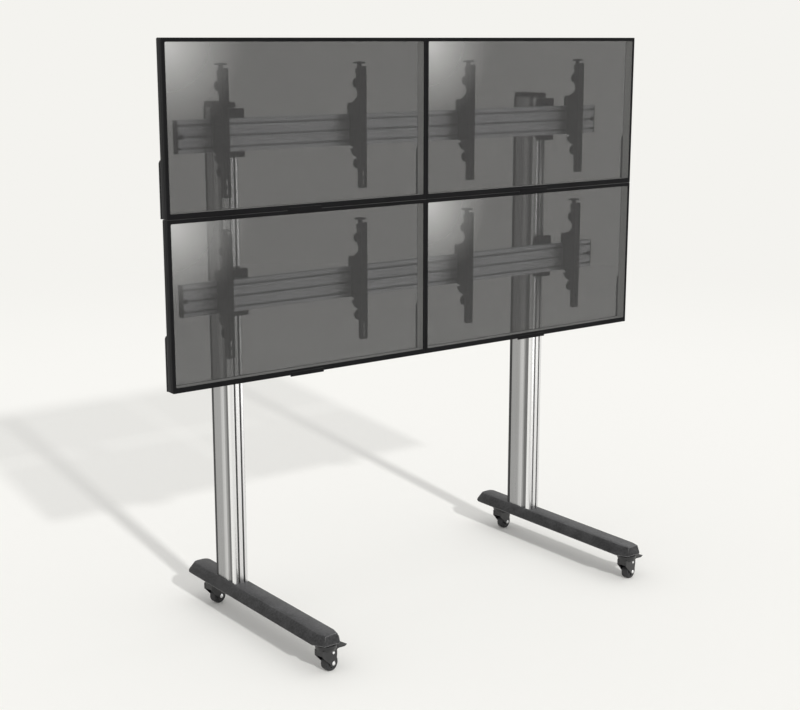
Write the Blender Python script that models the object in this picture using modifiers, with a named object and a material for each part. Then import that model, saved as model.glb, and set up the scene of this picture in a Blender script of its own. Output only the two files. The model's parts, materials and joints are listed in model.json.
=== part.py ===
# Mobile stand for a wall of four displays, with castor feet, two columns, two rails and hooked arms.
# X runs along the wall, the displays face -Y, Z is up, and the floor is at zero.

import math

import bmesh
import bpy
from mathutils import Matrix

# Clearances, and how far a cutter runs past the face it opens
GAP = 0.0003
RUNNING = 0.00004
PAST = 0.0100

# Feet
FOOT_BOTTOM = 0.1130
FOOT_TOP = 0.1530
FOOT_LIP = 0.0080
FOOT_BASE_HALF = 0.0600
FOOT_TOP_HALF = 0.0350
FOOT_LENGTH = 0.9860
FOOT_BEHIND = 0.3550
NOSE_LENGTH = 0.0450
NOSE_HALF = 0.0340
NOSE_SLOPE = 0.0060
REAR_RADIUS = 0.0400
REAR_SLOPE = 0.0180
FOOT_SKIN = 0.0050
POCKET_HALF = 0.0240
POCKET_COUNT = 6
RIB = 0.0080
FOOT_EDGE = 0.0025

# Castors
WHEEL_RADIUS = 0.0300
WHEEL_HALF = 0.0160
FORK_BOSS = 0.0140
TREAD_CURVE = 0.0030
HUB_RADIUS = 0.0185
HUB_RECESS = 0.0030
TYRE_INNER = 0.0210
AXLE_RADIUS = 0.0040
AXLE_PROUD = 0.0025
TRAIL = 0.0160
CASTOR_TURN = 102.0
FRONT_SWIVEL_FROM_END = 0.0415
REAR_SWIVEL_FROM_END = 0.1340
SWIVEL_HEAD_RADIUS = 0.0400
SWIVEL_HEAD_HEIGHT = 0.0260
SWIVEL_CLEARANCE = 0.0035
STEM_RADIUS = 0.0060
WASHER_RADIUS = 0.0120
SWIVEL_FLOOR = 0.0040
SWIVEL_ROLL = 0.0030
SWIVEL_SKIRT = 0.0140
SWIVEL_TAPER = 0.0060
FORK_REAR = 0.0360
FORK_REAR_LOW = 0.0680
FORK_FRONT = 0.0350
FORK_FRONT_LOW = 0.0620
FORK_ROOT = 0.0080
FORK_STEP = 0.0010
CHEEK = 0.0045
CHEEK_CLEARANCE = 0.0020
PEDAL_REACH = 0.0600
PEDAL_HALF = 0.0320
PEDAL_PIVOT_AHEAD = 0.0170
PEDAL_PIVOT_Z = 0.0715
PEDAL_TIP_Z = 0.0910
PEDAL_BARREL = 0.0052
PEDAL_PIN = 0.0022
PEDAL_THICK = 0.0045

# Columns
COLUMN_X = 0.7696
COLUMN_HALF = 0.02945
COLUMN_DEPTH = 0.1333
COLUMN_TOP = 2.0007
COLUMN_BEAD = 0.0070
COLUMN_WALL = 0.0028
SIDE_GROOVE_START = 0.0230
SIDE_GROOVE_END = 0.0510
SIDE_GROOVE_DEPTH = 0.0070
BAND_END = 0.0640
BAND_STEP = 0.0012
SLOT_MOUTH = 0.0080
SLOT_CHAMBER = 0.0150
SLOT_LIP = 0.0030
SLOT_DEPTH = 0.0090
COLUMN_SLOT_X = 0.0115
DUCT_FRONT = 0.0620
COVER_DEPTH = 0.0212
COVER_WALL = 0.0025
COVER_CLIP = 0.0090
CABLE_ENTRY_HEIGHT = 0.0600
CABLE_ENTRY_HALF = 0.0160
CAP_HEIGHT = 0.0200
CAP_RADIUS = 0.0160
CAP_ROLL = 0.0070
COVER_RADIUS = 0.0080

# Rails
RAIL_HALF_LENGTH = 1.0249
RAIL_FRONT_AHEAD = 0.0603
RAIL_DEPTH = 0.0283
RAIL_HEIGHT = 0.1195
UPPER_RAIL_BELOW_MIDDLE = 0.0352
LOWER_RAIL_BELOW_MIDDLE = 0.0055
RAIL_SLOT_PITCH = 0.0410
RAIL_LIP = 0.0064
RAIL_TOP_GROOVE = 0.0078
RAIL_TOP_GROOVE_DEPTH = 0.0080
RAIL_WALL = 0.0035
END_CAP = 0.0050
STOP_HEAD_RADIUS = 0.0090
STOP_HEAD_HEIGHT = 0.0050
STOP_FROM_END = 0.0150
BRACKET_HALF = 0.0410
BRACKET_ABOVE = 0.0335
BRACKET_BELOW = 0.0250
BRACKET_CHAMFER_Y = 0.0110
BRACKET_CHAMFER_Z = 0.0150
BOLT_HEAD_RADIUS = 0.0050
BOLT_HEAD_HEIGHT = 0.0045
BOLT_SHANK_RADIUS = 0.0028
BOLT_FROM_RAIL = 0.0125
BOLT_SOCKET_RADIUS = 0.0025
BRACKET_WALL = 0.0060
NUT_CLEARANCE = 0.0010

# Displays
DISPLAY_WIDTH = 1.1345
DISPLAY_HEIGHT = 0.6206
DISPLAY_GAP = 0.0006
WALL_TOP = 2.2512
DISPLAY_FRONT_AHEAD = 0.1798
DISPLAY_DEPTH = 0.0440
DISPLAY_BULGE = 0.0100
BULGE_HEIGHT = 0.2050
BULGE_RAMP = 0.0120
BEZEL_SIDE = 0.0116
BEZEL_TOP = 0.0140
BEZEL_BOTTOM = 0.0200
BEZEL_LIP = 0.0014
GLASS_OVERLAP = 0.0030
GLASS_THICK = 0.0030
BACK_WALL = 0.0033
WINDOW_RADIUS = 0.0040
BACK_RADIUS = 0.0100
SENSOR_HALF = 0.0750
SENSOR_PROUD = 0.0035
SENSOR_HANG = 0.0050

# Arms
ARM_OFFSET = 0.3000
ARM_ABOVE_RAIL = 0.1805
CHANNEL_HALF = 0.0150
CHANNEL_DEPTH = 0.0200
CHANNEL_LENGTH = 0.4580
CHANNEL_WALL = 0.0025
CHANNEL_HOLE_RADIUS = 0.0035
CHANNEL_HOLE_DROP = 0.0280
CHANNEL_SLOT_HALF = 0.0040
CHANNEL_SLOTS = ((0.391, 0.415), (0.424, 0.447))
PLATE = 0.0030
PLATE_FRONT = 0.0030
PLATE_HOLE_RADIUS = 0.0048
PLATE_HOLE_BACK = 0.0510
PLATE_HOLE_DROPS = (0.195, 0.236, 0.275)
PLATE_TOP = 0.0080
PLATE_END = 0.3860
LUG_DEPTH = 0.0360
LUG_END = 0.0240
LUG_THICK = 0.0040
NARROW_DEPTH = 0.0310
WAIST_DEPTH = 0.0240
SHOULDER_DROP = 0.1370
STUD_BACK = 0.0600
STUD_DROP = 0.2870
LATCH_LENGTH = 0.0300
PLATE_STUD_RADIUS = 0.0045
DIAL_DROPS = (0.063, 0.367)
DIAL_RADIUS = 0.0210
DIAL_THICK = 0.0110
DIAL_FRONT = 0.0330
DIAL_STUD_RADIUS = 0.0045
KNOB_RADIUS = 0.0240
KNOB_ABOVE = 0.0180
KNOB_HEAD = 0.0080
KNOB_BACK = 0.0260
KNOB_STEM_RADIUS = 0.0050
KNOB_STEM_END = 0.0300
KNOB_NECK_RADIUS = 0.0090

# Places that follow from the dimensions above
FOOT_AHEAD = FOOT_LENGTH - FOOT_BEHIND
FRONT_SWIVEL_AHEAD = FOOT_AHEAD - FRONT_SWIVEL_FROM_END
REAR_SWIVEL_BEHIND = FOOT_BEHIND - REAR_SWIVEL_FROM_END
COLUMN_FRONT = (FOOT_AHEAD - FOOT_BEHIND) / 2
RAIL_FRONT = COLUMN_FRONT - RAIL_FRONT_AHEAD
DISPLAY_FRONT = COLUMN_FRONT - DISPLAY_FRONT_AHEAD
CHANNEL_FRONT = DISPLAY_FRONT + DISPLAY_DEPTH
RAIL_BACK_OF_CHANNEL = RAIL_FRONT - CHANNEL_FRONT

SWIVEL_TOP = FOOT_BOTTOM - SWIVEL_CLEARANCE
SWIVEL_YS = (COLUMN_FRONT - FRONT_SWIVEL_AHEAD, COLUMN_FRONT + REAR_SWIVEL_BEHIND)

ROUND = 20
KNOB_ROUND = 18
DIAL_ROUND = 16
SHAFT_ROUND = 12
SMALL_ROUND = 8


# Scene and objects
def clear_scene():
    for thing in list(bpy.data.objects):
        bpy.data.objects.remove(thing, do_unlink=True)


def make_collection(name):
    collection = bpy.data.collections.new(name)
    bpy.context.scene.collection.children.link(collection)
    return collection


def make_material(name, colour, metallic, roughness, alpha=1.0):
    material = bpy.data.materials.new(name)
    material.use_nodes = True
    shader = material.node_tree.nodes["Principled BSDF"]
    shader.inputs["Base Color"].default_value = (*colour, 1.0)
    shader.inputs["Metallic"].default_value = metallic
    shader.inputs["Roughness"].default_value = roughness
    shader.inputs["Alpha"].default_value = alpha
    return material


def add_node(name, mesh, material, location=(0.0, 0.0, 0.0), turn=0.0):
    thing = bpy.data.objects.new(name, mesh)
    thing.location = location
    thing.rotation_euler = (0.0, 0.0, turn)
    MODEL.objects.link(thing)
    if not mesh.materials:
        mesh.materials.append(material)
    return thing


# Meshes
def clean(mesh, matrix=None, flatten=False):
    work = bmesh.new()
    work.from_mesh(mesh)
    bmesh.ops.remove_doubles(work, verts=work.verts, dist=0.000001)
    if flatten:
        bmesh.ops.dissolve_limit(work, angle_limit=0.002, verts=work.verts, edges=work.edges)
    if matrix is not None:
        bmesh.ops.transform(work, matrix=matrix, verts=work.verts)
    bmesh.ops.recalc_face_normals(work, faces=work.faces)
    work.to_mesh(mesh)
    work.free()
    return mesh


def box(low, high):
    centre = [(a + b) / 2 for a, b in zip(low, high)]
    size = [b - a for a, b in zip(low, high)]
    mesh = bpy.data.meshes.new("box")
    work = bmesh.new()
    bmesh.ops.create_cube(work, size=1.0)
    bmesh.ops.scale(work, vec=size, verts=work.verts)
    bmesh.ops.translate(work, vec=centre, verts=work.verts)
    work.to_mesh(mesh)
    work.free()
    return mesh


AXES = {
    "xy": Matrix(((1, 0, 0, 0), (0, 1, 0, 0), (0, 0, 1, 0), (0, 0, 0, 1))),
    "yz": Matrix(((0, 0, 1, 0), (1, 0, 0, 0), (0, 1, 0, 0), (0, 0, 0, 1))),
    "xz": Matrix(((1, 0, 0, 0), (0, 0, -1, 0), (0, 1, 0, 0), (0, 0, 0, 1))),
}


def across_plane(plane, distance):
    # A step along the axis that stands square to the named plane.
    return {"xy": (0.0, 0.0, distance), "yz": (distance, 0.0, 0.0), "xz": (0.0, distance, 0.0)}[plane]


def loft(rings):
    # Each ring is an outline and its height. All outlines have the same number of points.
    mesh = bpy.data.meshes.new("loft")
    work = bmesh.new()
    made = [[work.verts.new((px, py, z)) for px, py in outline] for outline, z in rings]
    work.faces.new(made[0][::-1])
    work.faces.new(made[-1])
    count = len(made[0])
    for lower, upper in zip(made, made[1:]):
        for i in range(count):
            j = (i + 1) % count
            work.faces.new((lower[i], lower[j], upper[j], upper[i]))
    bmesh.ops.recalc_face_normals(work, faces=work.faces)
    work.to_mesh(mesh)
    work.free()
    return mesh


def prism(outlines, plane, low, high):
    # Each outline is a closed list of points in the named plane. An inner one is a hole.
    if len(outlines) == 1:
        start = low if plane != "xz" else high
        mesh = loft([(outlines[0], 0.0), (outlines[0], high - low)])
        return clean(mesh, Matrix.Translation(across_plane(plane, start)) @ AXES[plane])
    curve = bpy.data.curves.new("outline", "CURVE")
    curve.dimensions = "2D"
    curve.fill_mode = "BOTH"
    curve.extrude = (high - low) / 2
    for outline in outlines:
        spline = curve.splines.new("POLY")
        spline.points.add(len(outline) - 1)
        for point, (u, v) in zip(spline.points, outline):
            point.co = (u, v, 0.0, 1.0)
        spline.use_cyclic_u = True
    thing = bpy.data.objects.new("outline", curve)
    MODEL.objects.link(thing)
    bpy.context.view_layer.update()
    graph = bpy.context.evaluated_depsgraph_get()
    mesh = bpy.data.meshes.new_from_object(thing.evaluated_get(graph))
    bpy.data.objects.remove(thing, do_unlink=True)
    return clean(mesh, Matrix.Translation(across_plane(plane, (low + high) / 2)) @ AXES[plane])


def turned(profile, axis, centre, segments, closed=False):
    # The profile holds radius and height along the axis, from the top down its outer side.
    mesh = bpy.data.meshes.new("turned")
    points = [(radius, 0.0, height) for radius, height in profile]
    edges = [(i, i + 1) for i in range(len(points) - 1)]
    if closed:
        edges.append((len(points) - 1, 0))
    mesh.from_pydata(points, edges, [])
    screw = {"steps": segments, "render_steps": segments, "use_merge_vertices": True}
    screw["merge_threshold"] = 0.00001
    mesh = modified(mesh, [("SCREW", screw)])
    turn = {
        "z": Matrix.Identity(4),
        "y": Matrix.Rotation(math.radians(90), 4, "X"),
        "x": Matrix.Rotation(math.radians(90), 4, "Y"),
    }[axis]
    return clean(mesh, Matrix.Translation(centre) @ turn)


def rod(axis, start, end, across, radius, segments=SMALL_ROUND):
    # A round bar from start to end along the axis. The other two coordinates are in across.
    half = (end - start) / 2
    centre = list(across)
    centre.insert("xyz".index(axis), (start + end) / 2)
    profile = [(0.0, half), (radius, half), (radius, -half), (0.0, -half)]
    return turned(profile, axis, centre, segments)


def modified(mesh, changes):
    thing = bpy.data.objects.new("work", mesh)
    MODEL.objects.link(thing)
    for kind, settings in changes:
        modifier = thing.modifiers.new(kind.lower(), kind)
        for key, value in settings.items():
            setattr(modifier, key, value)
    bpy.context.view_layer.update()
    graph = bpy.context.evaluated_depsgraph_get()
    made = bpy.data.meshes.new_from_object(thing.evaluated_get(graph))
    bpy.data.objects.remove(thing, do_unlink=True)
    return made


def solid(mesh, cut=(), join=()):
    # Joins come first, so that a hole can pass through a joined piece too.
    changes = []
    helpers = []
    for operation, others in (("UNION", join), ("DIFFERENCE", cut)):
        for other in others:
            helper = bpy.data.objects.new("helper", other)
            helper.display_type = "WIRE"
            helper.hide_render = True
            CUTTERS.objects.link(helper)
            helpers.append(helper)
            changes.append(("BOOLEAN", {"operation": operation, "object": helper, "solver": "EXACT"}))
    made = modified(mesh, changes)
    for helper in helpers:
        bpy.data.objects.remove(helper, do_unlink=True)
    return clean(made, flatten=True)


def bevelled(mesh, width, segments=2, angle=30.0):
    settings = {"width": width, "segments": segments, "limit_method": "ANGLE"}
    settings["angle_limit"] = math.radians(angle)
    settings["harden_normals"] = False
    return modified(mesh, [("BEVEL", settings)])


def smooth(mesh, angle=35.0):
    for face in mesh.polygons:
        face.use_smooth = True
    mesh.set_sharp_from_angle(angle=math.radians(angle))
    return mesh


# Fits and outlines
def bore_radius(shaft, segments):
    # A faceted bore whose flats stay clear of a turning shaft.
    return (shaft + RUNNING) / math.cos(math.pi / segments)


def arc(centre, radius, start, end, steps):
    points = []
    for i in range(steps + 1):
        angle = math.radians(start + (end - start) * i / steps)
        points.append((centre[0] + radius * math.cos(angle), centre[1] + radius * math.sin(angle)))
    return points


def rounded_rectangle(low, high, radius, steps=3):
    corners = [
        ((high[0] - radius, high[1] - radius), 0),
        ((low[0] + radius, high[1] - radius), 90),
        ((low[0] + radius, low[1] + radius), 180),
        ((high[0] - radius, low[1] + radius), 270),
    ]
    points = []
    for centre, start in corners:
        points += arc(centre, radius, start, start + 90, steps)
    return points


def slot_notch(centre):
    # A T-slot seen from its mouth, as offsets along the face and depths behind it.
    mouth = SLOT_MOUTH / 2
    chamber = SLOT_CHAMBER / 2
    return [
        (centre - mouth, 0.0),
        (centre - mouth, SLOT_LIP),
        (centre - chamber, SLOT_LIP),
        (centre - chamber, SLOT_DEPTH),
        (centre + chamber, SLOT_DEPTH),
        (centre + chamber, SLOT_LIP),
        (centre + mouth, SLOT_LIP),
        (centre + mouth, 0.0),
    ]


# Feet
def foot_ring(half, nose, front, chamfer, back, radius):
    # Half of the plan outline from the nose to the middle of the rear end, then its mirror.
    side = [(nose, front), (half, chamfer)] + arc((half - radius, back - radius), radius, 0, 90, 5)
    other = [(-across, y) for across, y in reversed(side)]
    return side + other


def foot_mesh():
    front = COLUMN_FRONT - FOOT_AHEAD
    back = COLUMN_FRONT + FOOT_BEHIND
    chamfer = front + NOSE_LENGTH
    ratio = FOOT_TOP_HALF / FOOT_BASE_HALF
    base = foot_ring(FOOT_BASE_HALF, NOSE_HALF, front, chamfer, back, REAR_RADIUS)
    top = foot_ring(
        FOOT_TOP_HALF, NOSE_HALF * 0.8, front + NOSE_SLOPE, chamfer, back - REAR_SLOPE, REAR_RADIUS * ratio
    )
    mesh = loft([(base, FOOT_BOTTOM), (base, FOOT_BOTTOM + FOOT_LIP), (top, FOOT_TOP)])
    mesh = bevelled(mesh, FOOT_EDGE, 1, 20.0)
    cuts = []
    start = COLUMN_FRONT - FRONT_SWIVEL_AHEAD + POCKET_HALF
    end = COLUMN_FRONT + REAR_SWIVEL_BEHIND - POCKET_HALF
    pitch = (end - start) / POCKET_COUNT
    for i in range(POCKET_COUNT):
        low = (-POCKET_HALF, start + i * pitch + RIB / 2, FOOT_BOTTOM - PAST)
        high = (POCKET_HALF, start + (i + 1) * pitch - RIB / 2, FOOT_TOP - FOOT_SKIN)
        cuts.append(box(low, high))
    joins = []
    stem_low = SWIVEL_TOP - SWIVEL_HEAD_HEIGHT + SWIVEL_FLOOR + GAP
    for y in SWIVEL_YS:
        joins.append(rod("z", stem_low, FOOT_BOTTOM + 0.002, (0.0, y), STEM_RADIUS, SHAFT_ROUND))
        joins.append(rod("z", SWIVEL_TOP + GAP, FOOT_BOTTOM + 0.002, (0.0, y), WASHER_RADIUS, SHAFT_ROUND))
    return smooth(solid(mesh, cut=cuts, join=joins), 25.0)


# Castors
def wheel_mesh():
    bore = bore_radius(AXLE_RADIUS, ROUND)
    hub_half = WHEEL_HALF - HUB_RECESS
    tread = [
        (WHEEL_RADIUS - TREAD_CURVE, WHEEL_HALF),
        (WHEEL_RADIUS, WHEEL_HALF - TREAD_CURVE),
        (WHEEL_RADIUS, TREAD_CURVE - WHEEL_HALF),
        (WHEEL_RADIUS - TREAD_CURVE, -WHEEL_HALF),
    ]
    profile = [(TYRE_INNER, WHEEL_HALF)] + tread + [(TYRE_INNER, -WHEEL_HALF)]
    profile += [(HUB_RADIUS, -hub_half), (bore, -hub_half), (bore, hub_half), (HUB_RADIUS, hub_half)]
    return smooth(turned(profile, "x", (0.0, 0.0, 0.0), ROUND, closed=True))


def fork_mesh(pedal):
    # The swivel axis is the local Z axis, and the axle lies ahead of it by the trail.
    top = SWIVEL_TOP
    under = top - SWIVEL_HEAD_HEIGHT
    profile = [
        (0.0, top),
        (SWIVEL_HEAD_RADIUS - SWIVEL_ROLL, top),
        (SWIVEL_HEAD_RADIUS, top - SWIVEL_ROLL),
        (SWIVEL_HEAD_RADIUS, top - SWIVEL_SKIRT),
        (SWIVEL_HEAD_RADIUS - SWIVEL_TAPER, under),
        (0.0, under),
    ]
    head = turned(profile, "z", (0.0, 0.0, 0.0), ROUND)
    root = under + FORK_ROOT
    outline = [(FORK_REAR, root), (-FORK_FRONT, root), (-FORK_FRONT, FORK_FRONT_LOW)]
    outline += arc((-TRAIL, WHEEL_RADIUS), FORK_BOSS, 190, 350, 6)
    outline.append((FORK_REAR, FORK_REAR_LOW))
    inner = WHEEL_HALF + CHEEK_CLEARANCE
    outer = inner + CHEEK
    joins = [prism([outline], "yz", inner, outer)]
    joins.append(prism([outline], "yz", -outer, -inner))
    # A wall behind the wheel joins the cheeks into one hood. It ends inside them.
    wall_half = inner + CHEEK / 2
    wall_low = (-wall_half, FORK_REAR - CHEEK, FORK_REAR_LOW + FORK_STEP)
    wall_high = (wall_half, FORK_REAR - FORK_STEP, root - FORK_STEP)
    joins.append(box(wall_low, wall_high))
    reach = outer + AXLE_PROUD
    joins.append(rod("x", -reach, reach, (-TRAIL, WHEEL_RADIUS), AXLE_RADIUS, SHAFT_ROUND))
    stem_bore = bore_radius(STEM_RADIUS, SHAFT_ROUND)
    cuts = [rod("z", under + SWIVEL_FLOOR, top + PAST, (0.0, 0.0), stem_bore, SHAFT_ROUND)]
    if pedal:
        grip = inner + CHEEK / 2
        joins.append(rod("x", -grip, grip, (-PEDAL_PIVOT_AHEAD, PEDAL_PIVOT_Z), PEDAL_PIN))
    return smooth(solid(head, cut=cuts, join=joins))


def castor_place(swivel_x, swivel_y, ahead, height):
    # A point ahead of the swivel axis, once the castor is turned.
    angle = math.radians(CASTOR_TURN)
    return (swivel_x + ahead * math.sin(angle), swivel_y - ahead * math.cos(angle), height)


def pedal_mesh():
    # The pivot is the local origin.
    inner = WHEEL_HALF + CHEEK_CLEARANCE
    tip_y = -PEDAL_REACH
    tip_z = PEDAL_TIP_Z - PEDAL_PIVOT_Z
    barrel_half = inner - GAP * 2
    barrel = rod("x", -barrel_half, barrel_half, (0.0, 0.0), PEDAL_BARREL, SHAFT_ROUND)
    outline = [
        (0.0, -0.002), (tip_y + 0.004, tip_z - PEDAL_THICK), (tip_y, tip_z - 0.001),
        (tip_y + 0.003, tip_z), (0.0, PEDAL_THICK - 0.002),
    ]
    blade = prism([outline], "yz", -PEDAL_HALF, PEDAL_HALF)
    sides = []
    for side in (-1, 1):
        edge = side * (PEDAL_HALF + PAST)
        waist = PEDAL_PIVOT_AHEAD - SWIVEL_HEAD_RADIUS - 0.008
        trim = [
            (side * barrel_half, PAST), (side * barrel_half, waist),
            (side * PEDAL_HALF, tip_y + 0.012), (edge, tip_y + 0.012), (edge, PAST),
        ]
        sides.append(prism([trim], "xy", -PAST, tip_z + PAST))
    blade = solid(blade, cut=sides)
    hole = rod("x", -inner - 0.01, inner + 0.01, (0.0, 0.0), bore_radius(PEDAL_PIN, SMALL_ROUND))
    return smooth(solid(barrel, join=[blade], cut=[hole]))


# Columns
def column_outline():
    half = COLUMN_HALF
    bead = COLUMN_BEAD
    right = []
    # From the middle of the front face to the rear edge of the duct, on one side.
    right += slot_notch(COLUMN_SLOT_X)
    right += arc((half - bead, bead), bead, -90, 0, 4)
    middle = (SIDE_GROOVE_START + SIDE_GROOVE_END) / 2
    groove = (SIDE_GROOVE_END - SIDE_GROOVE_START) / 2
    for i in range(7):
        angle = math.pi * i / 6
        right.append((half - SIDE_GROOVE_DEPTH * math.sin(angle), middle - groove * math.cos(angle)))
    right.append((half, BAND_END))
    right.append((half - BAND_STEP, BAND_END + BAND_STEP))
    right.append((half - BAND_STEP, COLUMN_DEPTH))
    inner = half - BAND_STEP - COLUMN_WALL
    right.append((inner, COLUMN_DEPTH))
    right.append((inner, DUCT_FRONT))
    left = [(-a, b) for a, b in reversed(right)]
    return [(a, COLUMN_FRONT + b) for a, b in right + left]


def column_hole():
    front = SLOT_DEPTH + COLUMN_WALL
    side = COLUMN_HALF - SIDE_GROOVE_DEPTH - COLUMN_WALL
    low = (-side, COLUMN_FRONT + front)
    high = (side, COLUMN_FRONT + DUCT_FRONT - COLUMN_WALL)
    return rounded_rectangle(low, high, 0.003, 1)


def column_mesh():
    low = FOOT_TOP + GAP
    mesh = prism([column_outline(), column_hole()], "xy", low, COLUMN_TOP)
    return smooth(mesh, 25.0)


def cover_mesh():
    start = COLUMN_FRONT + COLUMN_DEPTH + GAP
    end = start + COVER_DEPTH
    half = COLUMN_HALF - BAND_STEP
    radius = COVER_RADIUS
    outer = [(half, start)] + arc((half - radius, end - radius), radius, 0, 90, 4)
    outer += arc((-half + radius, end - radius), radius, 90, 180, 4) + [(-half, start)]
    clip = COLUMN_WALL + GAP
    deep = start - COVER_CLIP
    inner_radius = radius - COVER_WALL
    inside = half - COVER_WALL
    step = clip + COVER_WALL
    inner = [
        (-half + clip, start), (-half + clip, deep), (-half + step, deep),
        (-half + step, start + COVER_WALL), (-inside, start + 2 * COVER_WALL),
    ]
    inner += arc((-inside + inner_radius, end - radius), inner_radius, 180, 90, 3)
    inner += arc((inside - inner_radius, end - radius), inner_radius, 90, 0, 3)
    inner += [
        (inside, start + 2 * COVER_WALL), (half - step, start + COVER_WALL),
        (half - step, deep), (half - clip, deep), (half - clip, start),
    ]
    low = FOOT_TOP + GAP
    mesh = prism([outer + inner], "xy", low, COLUMN_TOP)
    entry = box(
        (-CABLE_ENTRY_HALF, start + COVER_DEPTH / 2, low - 0.01),
        (CABLE_ENTRY_HALF, end + 0.01, low + CABLE_ENTRY_HEIGHT),
    )
    return smooth(solid(mesh, cut=[entry]), 25.0)


def column_cap_mesh():
    low = (-COLUMN_HALF, COLUMN_FRONT)
    high = (COLUMN_HALF, COLUMN_FRONT + COLUMN_DEPTH + GAP + COVER_DEPTH)
    start = COLUMN_TOP + GAP
    steps = (
        (0.0, 0.0),
        (0.0, CAP_HEIGHT - CAP_ROLL),
        (CAP_ROLL * 0.26, CAP_HEIGHT - CAP_ROLL * 0.29),
        (CAP_ROLL * 0.86, CAP_HEIGHT),
    )
    rings = []
    for inset, height in steps:
        inner_low = [value + inset for value in low]
        inner_high = [value - inset for value in high]
        rings.append((rounded_rectangle(inner_low, inner_high, CAP_RADIUS - inset, 5), start + height))
    return smooth(loft(rings), 40.0)


# Rails
def rail_outline():
    half = RAIL_HEIGHT / 2
    front = [(-half, 0.0)]
    for centre in (-RAIL_SLOT_PITCH, 0.0, RAIL_SLOT_PITCH):
        front += slot_notch(centre)
    front.append((half, 0.0))
    groove_end = RAIL_LIP + RAIL_TOP_GROOVE
    floor = half - RAIL_TOP_GROOVE_DEPTH
    top = [(half, RAIL_LIP), (floor, RAIL_LIP), (floor, groove_end), (half, groove_end)]
    back = [(half, RAIL_DEPTH), (-half, RAIL_DEPTH)]
    bottom = [(-half, groove_end), (-floor, groove_end), (-floor, RAIL_LIP), (-half, RAIL_LIP)]
    points = front + top + back + bottom
    return [(RAIL_FRONT + depth, height) for height, depth in points]


def rail_hole(low, high):
    start = RAIL_FRONT + SLOT_DEPTH + RAIL_WALL
    end = RAIL_FRONT + RAIL_DEPTH - RAIL_WALL
    return [(start, low), (end, low), (end, high), (start, high)]


def rail_mesh():
    length = RAIL_HALF_LENGTH - END_CAP - GAP
    inner = RAIL_HEIGHT / 2 - RAIL_TOP_GROOVE_DEPTH - RAIL_WALL
    holes = [rail_hole(RAIL_WALL, inner), rail_hole(-inner, -RAIL_WALL)]
    return smooth(prism([rail_outline()] + holes, "yz", -length, length), 25.0)


def end_cap_mesh(side):
    inner = side * (RAIL_HALF_LENGTH - END_CAP)
    outer = side * RAIL_HALF_LENGTH
    low, high = min(inner, outer), max(inner, outer)
    half = RAIL_HEIGHT / 2
    outline = rounded_rectangle(
        (RAIL_FRONT, -half), (RAIL_FRONT + RAIL_DEPTH, half), 0.002, 1
    )
    plate = prism([outline], "yz", low, high)
    tabs = []
    tab_half = SLOT_CHAMBER / 2 - GAP * 2
    root = inner + side * 0.002
    tip = inner - side * 0.010
    for centre in (-RAIL_SLOT_PITCH, 0.0, RAIL_SLOT_PITCH):
        tabs.append(box(
            (min(root, tip), RAIL_FRONT + SLOT_LIP + GAP, centre - tab_half),
            (max(root, tip), RAIL_FRONT + SLOT_DEPTH - GAP, centre + tab_half),
        ))
    return smooth(solid(plate, join=tabs + stop_parts(outer - side * STOP_FROM_END)))


def bracket_mesh():
    front = RAIL_FRONT + RAIL_DEPTH + GAP
    back = COLUMN_FRONT - GAP
    low = -RAIL_HEIGHT / 2 - BRACKET_BELOW
    high = RAIL_HEIGHT / 2 + BRACKET_ABOVE
    outline = [
        (front, low), (back - BRACKET_CHAMFER_Y, low), (back, low + BRACKET_CHAMFER_Z),
        (back, high - BRACKET_CHAMFER_Z), (back - BRACKET_CHAMFER_Y, high), (front, high),
    ]
    mesh = bevelled(prism([outline], "yz", -BRACKET_HALF, BRACKET_HALF), 0.002, 1, 50.0)
    joins = [part for spot in bolt_places() for part in bolt_parts(*spot)]
    cuts = [bolt_socket(*spot) for spot in bolt_places()]
    # The hollow back leaves walls round the edge and a web between the bolts.
    wall = BRACKET_WALL
    pocket_low = low + BRACKET_CHAMFER_Z + wall
    pocket_high = high - BRACKET_CHAMFER_Z - wall - 0.010
    for side in (-1, 1):
        edge = sorted((side * (COLUMN_SLOT_X + 0.008), side * (BRACKET_HALF - wall)))
        cuts.append(box((edge[0], front + wall, pocket_low), (edge[1], back + 0.01, pocket_high)))
    return smooth(solid(mesh, cut=cuts, join=joins))


def bolt_places():
    places = []
    for side in (-1, 1):
        for end in (-1, 1):
            bolt_z = end * (RAIL_HEIGHT / 2 + BOLT_FROM_RAIL)
            places.append((side * COLUMN_SLOT_X, bolt_z))
    return places


def bolt_parts(x, z):
    face = RAIL_FRONT + RAIL_DEPTH + GAP
    nut_front = COLUMN_FRONT + SLOT_LIP + GAP
    nut_back = COLUMN_FRONT + SLOT_DEPTH - 0.0015
    nut_half = SLOT_CHAMBER / 2 - NUT_CLEARANCE
    head = rod("y", face - BOLT_HEAD_HEIGHT, face + 0.001, (x, z), BOLT_HEAD_RADIUS, SHAFT_ROUND)
    shank = rod("y", face + 0.002, nut_back - 0.001, (x, z), BOLT_SHANK_RADIUS)
    nut = box((x - nut_half, nut_front, z - nut_half), (x + nut_half, nut_back, z + nut_half))
    return [head, shank, nut]


def bolt_socket(x, z):
    front = RAIL_FRONT + RAIL_DEPTH + GAP - BOLT_HEAD_HEIGHT
    return rod("y", front - PAST, front + BOLT_SOCKET_RADIUS, (x, z), BOLT_SOCKET_RADIUS, 6)


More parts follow.
